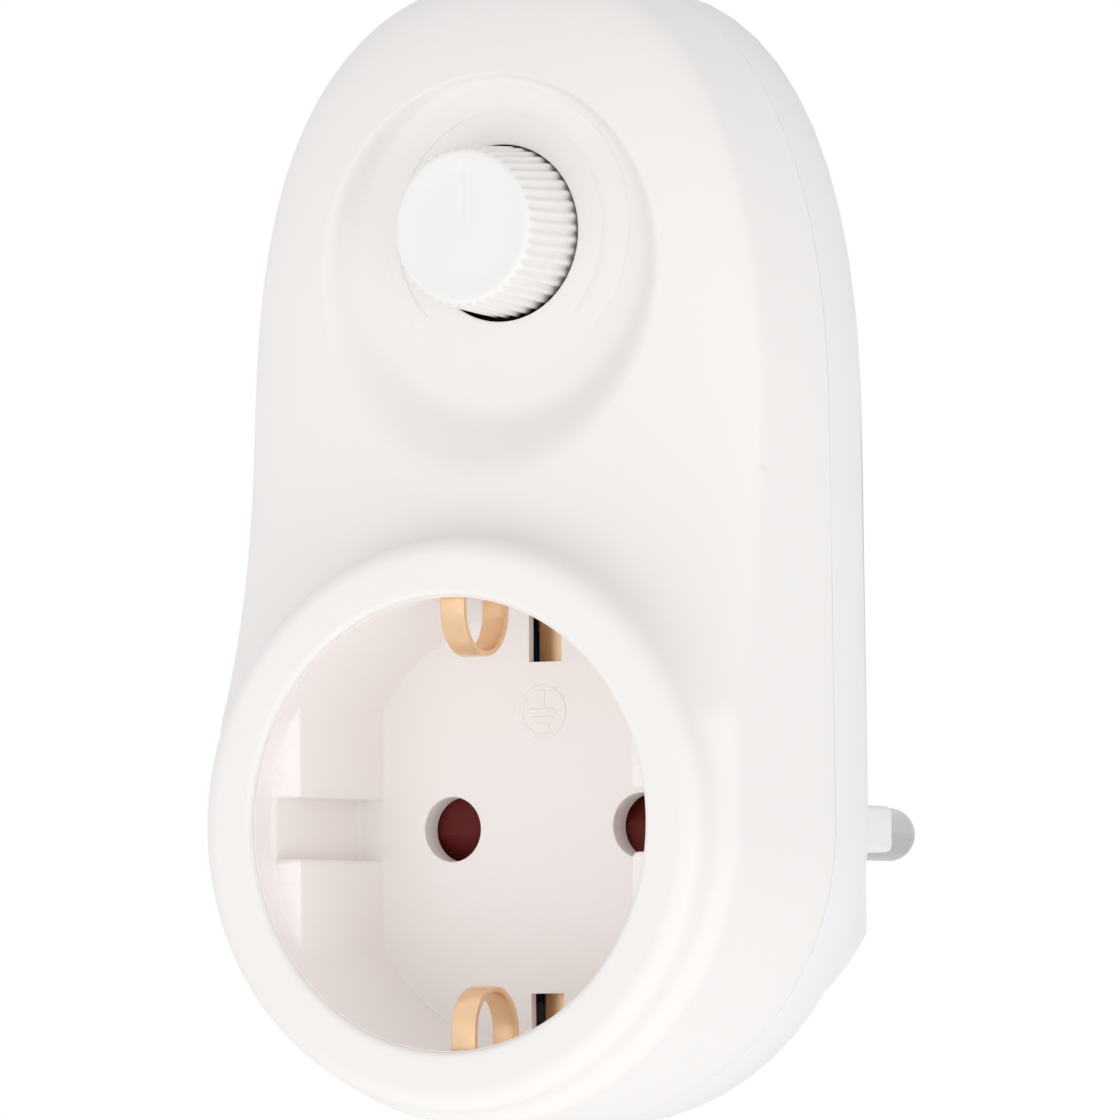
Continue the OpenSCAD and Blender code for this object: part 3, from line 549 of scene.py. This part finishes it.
def cupFloor(footX, footUp):
    # on each side rays run from the pin hole to the wall's foot, the sides of the clip slots and the middle
    # line, and the slots' own walls go straight down their lip and then spread to the back
    c, g = cup, cupGrid
    along = np.linspace(0, 1, g["slotSide"])[1:]
    across = np.linspace(1, 0, g["slotEnd"])[1:]
    slotX = np.append(footX[-1] + (c["slotHalf"] - footX[-1]) * along, c["slotHalf"] * across)
    slotUp = np.append(footUp[-1] + (c["slotIn"] - footUp[-1]) * along, c["slotIn"] + 0 * across)
    middle = np.linspace(c["slotIn"], -c["slotIn"], g["middle"])[1:-1]
    edgeX = np.concatenate([footX, slotX, 0 * middle, slotX[::-1]])
    edgeUp = np.concatenate([footUp, slotUp, middle, -slotUp[::-1]])
    spreadX = c["slotWider"] * np.append(0 * along + 1, across)
    spreadUp = -c["slotLonger"] * np.append(np.floor(along), 0 * across + 1)  # from the slot's corner on
    backX = edgeX + np.concatenate([0 * footX, spreadX, 0 * middle, spreadX[::-1]])
    backUp = edgeUp + np.concatenate([0 * footX, spreadUp, 0 * middle, -spreadUp[::-1]])

    reach = np.hypot(edgeX - c["pinX"], edgeUp)
    rayX, rayUp = (edgeX - c["pinX"]) / reach, edgeUp / reach
    bend = np.linspace(0, quarterTurn, g["holeRows"])
    start = c["hole"] + c["holeEdge"]
    hole = np.append(c["hole"], start - c["holeEdge"] * np.cos(bend))[:, None] + 0 * reach
    outward = np.linspace(0, 1, g["floorRows"])[1:]
    rho = np.concatenate([reach[None], hole, start + (reach - start) * outward[:, None]])
    holeA = c["floor"] - c["holeEdge"] * (1 - np.sin(bend))
    level = np.concatenate([[c["back"], c["back"]], holeA, 0 * outward + c["floor"]])[:, None]
    floorX, floorUp = c["pinX"] + rho * rayX, rho * rayUp
    floorX[0], floorUp[0] = backX, backUp

    cut = slice(len(footX) - 1, len(footX) + len(slotX))
    lipX = np.stack([edgeX[cut], edgeX[cut], backX[cut]])
    lipUp = np.stack([edgeUp[cut], edgeUp[cut], backUp[cut]])
    lipA = np.array([c["floor"], c["floor"] - c["slotLip"], c["back"]])[:, None]
    patches = []
    for side in (1, -1):
        patches.append((placed(side * floorX, floorUp, level), gridQuads(*rho.shape, True)))
        for flip in (1, -1):
            patches.append((placed(side * lipX, flip * lipUp, lipA), gridQuads(*lipX.shape, False)))
    return patches


def slotBack(footX, footUp):
    # the strip of wall at a slot's far end, from the floor to the back
    order = np.argsort(footX)
    level = np.array([cup["floor"], cup["back"]])[:, None]
    return placed(footX[order], footUp[order], level), gridQuads(2, len(order), False)


def shutterHub():
    # a plain turned stud on the back of the floor
    c, sides = cup, cupGrid["hub"]
    around = np.linspace(0, fullTurn, sides, endpoint=False)
    studR = np.array([0, c["hub"], c["hub"], 0])[:, None]
    top = c["back"] + c["hubIn"]
    studA = np.array([top, top, c["hubBack"], c["hubBack"]])[:, None]
    return placed(studR * np.cos(around), studR * np.sin(around), studA), gridQuads(len(studR), sides, True)


def buildCup():
    # wall, outside, floor, slots and hub share their edges, so the seams close when doubles are merged
    c, g = cup, cupGrid
    toSlot, overSlot = g["slotTurns"]
    stops = [*g["turns"], (g["lastTurn"], slotTurn, toSlot), (slotTurn, 90, overSlot)]
    quarter = np.unique(np.concatenate([np.linspace(*stop) for stop in stops]))
    half = np.concatenate([-quarter[:0:-1], quarter])
    turn = np.radians(np.concatenate([half, 180 + half[1:-1]]))
    turnX, turnUp = np.cos(turn), np.sin(turn)
    r, ahead = cupWall(turnX, turnUp)
    wall = placed(r * turnX, r * turnUp, ahead), gridQuads(*r.shape, True)

    # outside: down from the rim, round the back and in to the foot of the wall
    outR = np.stack([r[0]] + [0 * turn + c[k] for k in ("nose", "nose", "outer", "outer")] + [r[-1]])
    outA = np.array([c[k] for k in ("front", "front", "shoulder", "shoulder", "back", "back")])[:, None]
    outside = placed(outR * turnX, outR * turnUp, outA), gridQuads(*outR.shape, True)

    footX, footUp = r[-1] * turnX, r[-1] * turnUp
    onWall = np.flatnonzero(np.abs(half) <= slotTurn + 1e-6)
    patches = [wall, outside, *cupFloor(footX[onWall], footUp[onWall])]
    for flip in (1, -1):
        behind = flip * turnUp > math.sin(math.radians(slotTurn)) - 1e-9
        patches.append(slotBack(footX[behind], footUp[behind]))
    patches.append(shutterHub())
    return meshPiece("socket_liner", *joined(patches), "housing", "cup", c["crease"], ("socket_cup",))


socketLiner = buildCup()
print("socket cup:", len(socketLiner.data.polygons), "faces")

# Earth sign on the socket floor
sign = {
    "x": -0.3, "up": 10.1, "ring": 2.15, "half": 0.23, "proud": 0.11, "stem": (2.0, 0.1),
    "bars": ((0.08, 1.4), (-0.6, 1.15), (-1.22, 0.75)), "blunt": 12,
    "sides": 14, "ringPoints": 97, "strokePoints": 25, "crease": 60,
}


def raisedStroke(x, up, awayX, awayUp, width):
    # an oval tube along a path in the floor, sunk to its middle, its width following the given shares
    s = sign
    around = np.linspace(0, fullTurn, s["sides"] + 1)[:, None]
    out = s["half"] * width * np.cos(around)
    rise = s["proud"] * width * np.sin(around)
    points = placed(s["x"] + x + out * awayX, s["up"] + up + out * awayUp, cup["floor"] + rise)
    return points, gridQuads(len(around), len(width), False)


def buildEarthSign():
    # a ring, three bars that get shorter and a stem, the strokes' ends blunted by a high power
    s = sign
    a = np.linspace(0, fullTurn, s["ringPoints"])
    sinA, cosA = np.sin(a), np.cos(a)
    patches = [raisedStroke(s["ring"] * sinA, s["ring"] * cosA, sinA, cosA, 1 + 0 * a)]
    t = np.linspace(-1, 1, s["strokePoints"])
    blunt = np.sqrt(1 - np.abs(t) ** s["blunt"])
    for low, reach in s["bars"]:
        patches.append(raisedStroke(reach * t, low, 0, 1, blunt))
    top, foot = s["stem"]
    patches.append(raisedStroke(0, foot + (top - foot) * (t + 1) / 2, -1, 0, blunt))
    return meshPiece("earth_sign", *joined(patches), "housing", "cup", s["crease"])


buildEarthSign()
print("earth sign")

# Earth clips
clips = {
    "upper": {"side": 1, "x": 0.0, "tip": 14.5, "back": 19.3, "front": 27.0},
    "lower": {"side": -1, "x": 0.35, "tip": 13.9, "back": 18.6, "front": 26.2},
}
clipStrip = {
    "wide": 2.4, "footWide": 4.0, "spread": (12.0, 10.0), "thick": 0.55, "corner": 0.14,
    "foot": 8.4, "footIn": 13.2, "wall": 20.05, "bend": 0.8, "end": 19.9,
    "footRows": 5, "bendRows": 9, "legRows": 6, "bowRows": 37, "cornerStep": 30, "crease": 50,
}


def buildClip(place):
    # one bent strip: a foot behind the socket floor, up inside the wall, front leg, round bow and back leg
    s, c = clipStrip, clips[place]
    half = s["thick"] / 2
    bow = (c["front"] - c["back"]) / 2 - half
    mid = (c["front"] + c["back"]) / 2
    axis = c["tip"] + half + bow
    bend, inside = s["bend"], s["wall"] - s["bend"]
    turn = np.linspace(0, quarterTurn, s["bendRows"])
    over = np.linspace(quarterTurn, 3 * quarterTurn, s["bowRows"])
    foot = np.linspace(s["footIn"], inside, s["footRows"])[:-1]
    frontLeg = np.linspace(inside, axis, s["legRows"])[1:-1]
    backLeg = np.linspace(axis, s["end"], s["legRows"])[1:]
    inward = np.concatenate([foot, inside + bend * np.sin(turn), inside + bend * np.cos(turn), frontLeg,
                             axis + bow * np.cos(over), backLeg])
    ahead = np.concatenate([
        0 * foot + s["foot"], s["foot"] + bend - bend * np.cos(turn), mid + bow - bend + bend * np.sin(turn),
        0 * frontLeg + mid + bow, mid + bow * np.sin(over), 0 * backLeg + mid - bow,
    ])
    slope = np.stack([np.gradient(inward), np.gradient(ahead)])
    slope = slope / np.hypot(*slope)
    inward, ahead, slope = (np.concatenate([p[..., :1], p, p[..., -1:]], -1) for p in (inward, ahead, slope))
    # its cross-section is a flat bar with rounded corners, wider at the foot, and both ends are closed flat
    wide = s["wide"] + (s["footWide"] - s["wide"]) * smoothStep(ahead, *s["spread"])[:, None]
    quarter = np.arange(0, 91, s["cornerStep"])
    around = np.radians(quarter + 90 * np.arange(4)[:, None]).ravel()
    cornerX, cornerUp = (np.repeat(signs, len(quarter)) for signs in ([1, -1, -1, 1], [1, 1, -1, -1]))
    across = cornerX * (wide / 2 - s["corner"]) + s["corner"] * np.cos(around)
    deep = cornerUp * (half - s["corner"]) + s["corner"] * np.sin(around)
    full = np.ones((len(inward), 1))
    full[[0, -1]] = 0
    x = c["x"] + full * across
    out = inward[:, None] - full * deep * slope[1][:, None]
    level = ahead[:, None] + full * deep * slope[0][:, None]
    return meshPiece(f"earth_spring_{place}", placed(x, c["side"] * out, level), gridQuads(*x.shape, True),
                     "housing", "brass", s["crease"], (f"earth_clip_{place}",))


for place in clips:
    buildClip(place)
print("earth clips")

# Back cover
backCover = {
    "colour": (238, 236, 237), "rough": 0.45, "mottle": 0.008,
    "edge": 0.5, "corner": 32, "flat": 0.5, "segments": 3, "profile": 0.5,
    # the guide ribs' edges reach past ribSide across, and out past ribFrom along the pins
    "ribSide": 17.0, "ribFrom": -17.4, "ribEdge": 0.6,
}


def isRibEdge(edge):
    # a sharp edge with an end on a guide rib's outer side and an end clear of the back plate
    b = backCover
    if not edge.is_manifold or edge.calc_face_angle() <= math.radians(b["corner"]):
        return False
    wide, out = max(abs(v.co.x) for v in edge.verts), max(v.co.y for v in edge.verts)
    return wide > b["ribSide"] * mm and out > b["ribFrom"] * mm


def buildBackCover():
    # a copy of the node's own solid: its triangles merge to flat faces, the guide ribs' edges are rounded in
    # the mesh, and a modifier softens the other sharp edges as far as their neighbours leave room
    b = backCover
    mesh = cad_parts["rear_cover"].data.copy()
    mesh.name = "rear_shell"
    work = bmesh.new()
    work.from_mesh(mesh)
    bmesh.ops.remove_doubles(work, verts=work.verts, dist=seamGap)
    bmesh.ops.dissolve_limit(work, angle_limit=math.radians(b["flat"]), verts=work.verts, edges=work.edges)
    bmesh.ops.bevel(work, geom=[edge for edge in work.edges if isRibEdge(edge)], offset=b["ribEdge"] * mm,
                    segments=b["segments"], profile=b["profile"], affect="EDGES")
    work.to_mesh(mesh)
    work.free()
    shadedSmooth(mesh)
    material = finish("cover_back", fromScreen(*b["colour"]), b["rough"], mottle=b["mottle"])
    piece = dressed(bpy.data.objects.new("rear_shell", mesh), "housing", material, ("rear_cover",))
    rounding = piece.modifiers.new("rounded edges", "BEVEL")
    rounding.width = b["edge"] * mm
    rounding.segments = b["segments"]
    rounding.limit_method = "ANGLE"
    rounding.angle_limit = math.radians(b["corner"])
    rounding.harden_normals = True


buildBackCover()
print("back cover")

# Camera
view = {
    "azimuth": 29.95, "elevation": -2.8, "roll": 0.43, "distance": 1000.0, "pixelsPerMm": 11.48,
    "picture": 1120, "markX": 546.5, "markY": 827.4, "sensor": 36.0, "clip": (0.05, 20),
}


def buildCamera():
    # the middle of the socket floor lands on its pixel: the camera slides across its own plane to meet it
    v = view
    a, e, r = (math.radians(v[k]) for k in ("azimuth", "elevation", "roll"))
    ahead = Vector((-math.sin(a) * math.cos(e), math.cos(a) * math.cos(e), -math.sin(e)))
    level = Vector((math.cos(a), math.sin(a), 0))
    upright = level.cross(ahead)
    right = level * math.cos(r) - upright * math.sin(r)
    up = level * math.sin(r) + upright * math.cos(r)
    mark = Vector((0, -plugDepth - cup["floor"], 0))
    half = v["picture"] / 2
    slideX, slideUp = (half - v["markX"]) / v["pixelsPerMm"], (v["markY"] - half) / v["pixelsPerMm"]
    spot = (mark + right * slideX + up * slideUp - ahead * v["distance"]) * mm
    data = bpy.data.cameras.new("camera")
    data.sensor_width = v["sensor"]
    data.lens = v["sensor"] * v["pixelsPerMm"] * v["distance"] / v["picture"]
    data.clip_start, data.clip_end = v["clip"]
    camera = bpy.data.objects.new("camera", data)
    camera.matrix_world = Matrix.Translation(spot) @ Matrix((right, up, -ahead)).transposed().to_4x4()
    bpy.context.scene.collection.objects.link(camera)
    bpy.context.scene.camera = camera


buildCamera()
print("camera")

# Studio, in metres but for the floor's level
studio = {
    "floor": -27.0, "floorHalf": 3.0, "floorShade": 0.4, "floorGlow": 0.55, "floorRough": 0.7,
    "floorMottle": 0.004, "ambient": 0.83, "fromRight": 0.04, "fromFront": 0.07, "fromBelow": 0.19,
    "keyEnergy": 1.0, "keySize": 0.7, "keyAt": (-0.15, -1.0, -0.3),
    "sideEnergy": 1.8, "sideSize": 0.7, "sideAt": (1.0, -0.5, -0.3), "aim": (0, -0.03, 0.025),
}
white = (1, 1, 1, 1)


def buildFloor():
    # one pale square under the part that glows a little, so that its own shade stays faint
    s = studio
    h, z = s["floorHalf"], s["floor"] * mm
    mesh = bpy.data.meshes.new("floor")
    mesh.from_pydata([(-h, -h, z), (h, -h, z), (h, h, z), (-h, h, z)], [], [(0, 1, 2, 3)])
    floor = bpy.data.objects.new("floor", mesh)
    bpy.context.scene.collection.objects.link(floor)
    material = finish("floor", [s["floorShade"]] * 3, s["floorRough"], mottle=s["floorMottle"])
    shader = material.node_tree.nodes["Principled BSDF"]
    shader.inputs["Emission Color"].default_value = white
    shader.inputs["Emission Strength"].default_value = s["floorGlow"]
    mesh.materials.append(material)
    floor.visible_diffuse = floor.visible_shadow = False


def buildSoftLight():
    # light from all round, a little stronger from the right, the front and below, as in a light tent; rays
    # from the camera and from shiny or clear surfaces see plain white instead
    s = studio
    world = bpy.data.worlds.new("studio")
    bpy.context.scene.world = world
    world.use_nodes = True
    nodes, links = world.node_tree.nodes, world.node_tree.links
    soft = nodes["Background"]
    soft.inputs["Color"].default_value = white
    place = nodes.new("ShaderNodeTexCoord")
    lean = nodes.new("ShaderNodeVectorMath")
    lean.operation = "DOT_PRODUCT"
    lean.inputs[1].default_value = (s["fromRight"], -s["fromFront"], -s["fromBelow"])
    links.new(place.outputs["Generated"], lean.inputs[0])
    level = nodes.new("ShaderNodeMath")
    level.inputs[1].default_value = s["ambient"]
    links.new(lean.outputs["Value"], level.inputs[0])
    links.new(level.outputs[0], soft.inputs["Strength"])
    plain = nodes.new("ShaderNodeBackground")
    plain.inputs["Color"].default_value = white
    plain.inputs["Strength"].default_value = 1
    path = nodes.new("ShaderNodeLightPath")
    seen = path.outputs["Is Camera Ray"]
    for kind in ("Is Glossy Ray", "Is Transmission Ray"):
        either = nodes.new("ShaderNodeMath")
        either.operation = "MAXIMUM"
        links.new(seen, either.inputs[0])
        links.new(path.outputs[kind], either.inputs[1])
        seen = either.outputs[0]
    mix = nodes.new("ShaderNodeMixShader")
    links.new(seen, mix.inputs["Fac"])
    links.new(soft.outputs[0], mix.inputs[1])
    links.new(plain.outputs[0], mix.inputs[2])
    links.new(mix.outputs[0], nodes["World Output"].inputs["Surface"])


def buildLamp(name):
    # a soft square lamp that faces the middle of the part
    s = studio
    data = bpy.data.lights.new(name, "AREA")
    data.energy = s[name + "Energy"]
    data.size = s[name + "Size"]
    lamp = bpy.data.objects.new(name, data)
    lamp.location = s[name + "At"]
    lamp.rotation_euler = (Vector(s["aim"]) - lamp.location).to_track_quat("-Z", "Y").to_euler()
    bpy.context.scene.collection.objects.link(lamp)


buildFloor()
buildSoftLight()
for lampName in ("key", "side"):
    buildLamp(lampName)
bpy.context.scene.view_settings.view_transform = "Standard"
print("studio")
